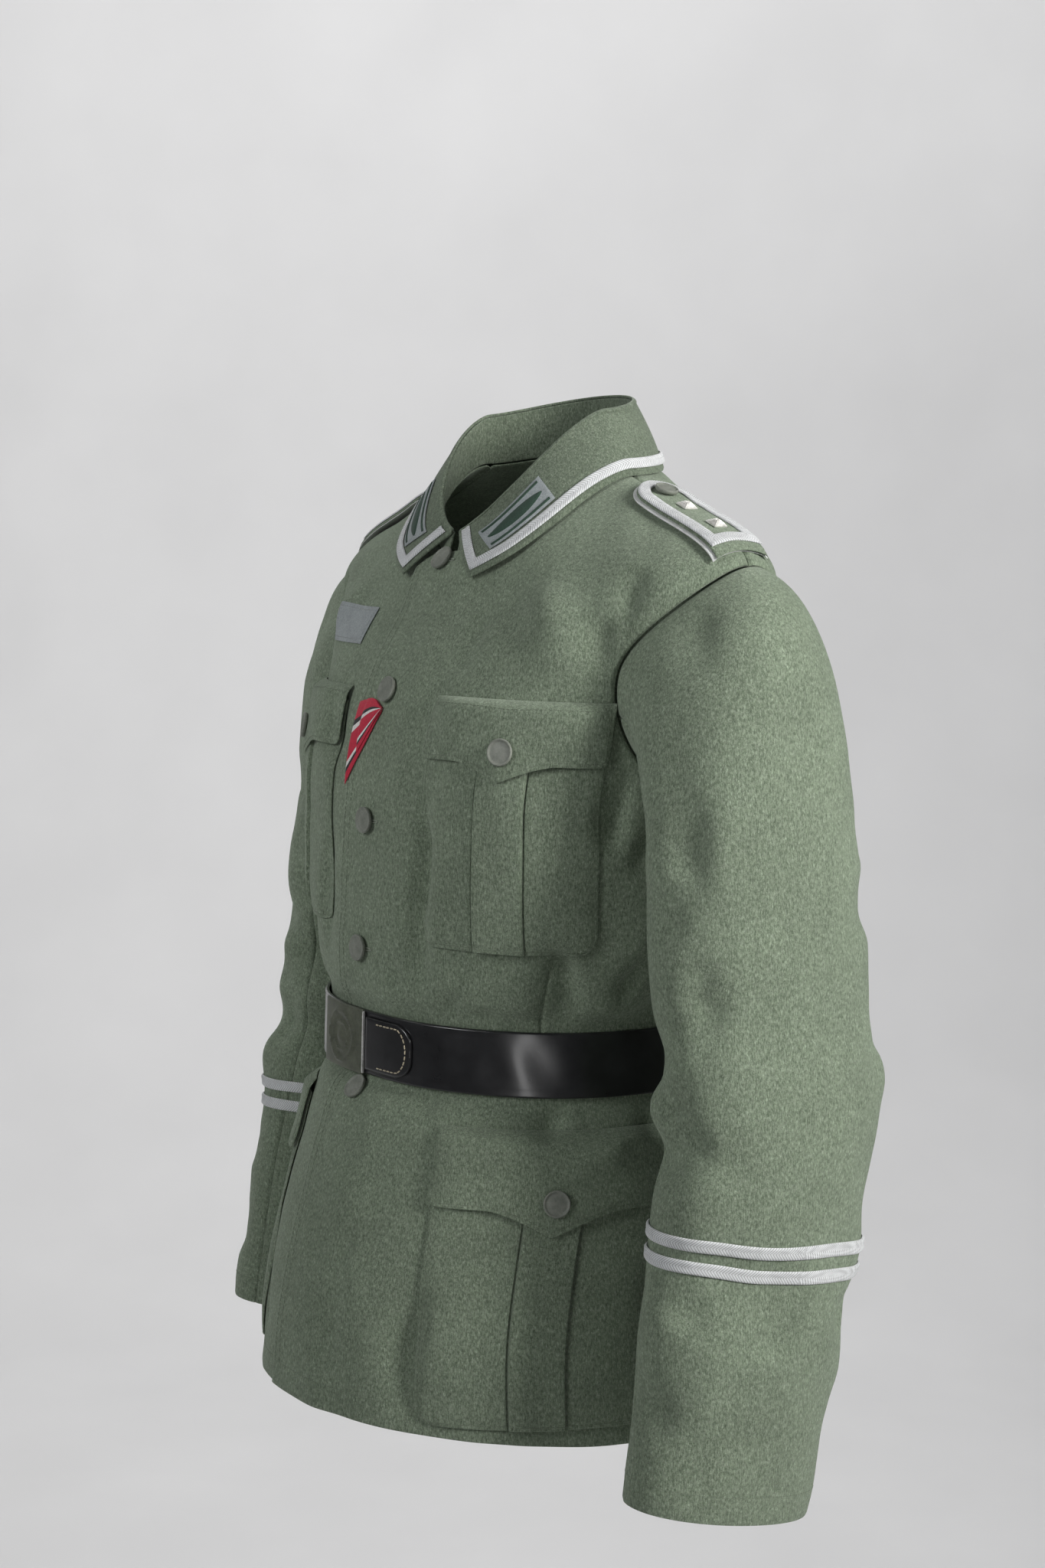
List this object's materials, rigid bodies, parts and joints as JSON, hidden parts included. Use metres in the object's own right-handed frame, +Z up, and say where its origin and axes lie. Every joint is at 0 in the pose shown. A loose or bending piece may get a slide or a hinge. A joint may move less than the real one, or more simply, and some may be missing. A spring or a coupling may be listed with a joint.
{
  "type": "military field tunic",
  "caption": "Worn wool field tunic held in its filled-out shape, with set-in sleeves, fall collar, pleated patch pockets, shoulder straps and a buckled leather belt.",
  "frame": {"origin": "middle of the neck opening at the height of the shoulders' neck points, where the wearer holds the tunic up", "axes": "+Z up, +X towards the wearer's left arm, -Y towards the buttoned front"},
  "size_m": [0.6526, 0.367, 0.7839],
  "materials": {
    "wool": "napped grey-green heather wool",
    "collar_wool": "the same grey-green wool, a little greener",
    "braid": "woven silver-white braid",
    "trim": "pale grey cloth and white piping",
    "button": "matt grey-green paint",
    "leather": "glossy black leather",
    "buckle": "worn grey-green painted steel",
    "ribbon": "ribbed silk ribbon",
    "pip": "silver, ridged"
  },
  "bodies": {
    "root": {"back_left": "wool", "back_right": "wool", "belt_band": "leather", "belt_tab": "leather", "breast_patch": "trim", "buckle_plate": "buckle", "collar_braid": "braid", "collar_fall": "collar_wool", "collar_stand": "collar_wool", "front_button_1": "button", "front_button_2": "button", "front_button_3": "button", "front_button_4": "button", "front_button_5": "button", "left_breast_button": "button", "left_breast_flap": "wool", "left_breast_pocket": "wool", "left_collar_patch": "trim", "left_front": "wool", "left_lower_button": "button", "left_lower_flap": "wool", "left_lower_pocket": "wool", "left_pip_inner": "pip", "left_pip_outer": "pip", "left_shoulder_braid": "braid", "left_shoulder_button": "button", "left_shoulder_strap": "wool", "left_shoulder_underlay": "trim", "left_sleeve_braid_lower": "braid", "left_sleeve_braid_upper": "braid", "left_sleeve_under": "wool", "left_sleeve_upper": "wool", "ribbon": "ribbon", "right_breast_button": "button", "right_breast_flap": "wool", "right_breast_pocket": "wool", "right_collar_patch": "trim", "right_front": "wool", "right_lower_button": "button", "right_lower_flap": "wool", "right_lower_pocket": "wool", "right_pip_inner": "pip", "right_pip_outer": "pip", "right_shoulder_braid": "braid", "right_shoulder_button": "button", "right_shoulder_strap": "wool", "right_shoulder_underlay": "trim", "right_sleeve_braid_lower": "braid", "right_sleeve_braid_upper": "braid", "right_sleeve_under": "wool", "right_sleeve_upper": "wool"}
  },
  "joints": []
}
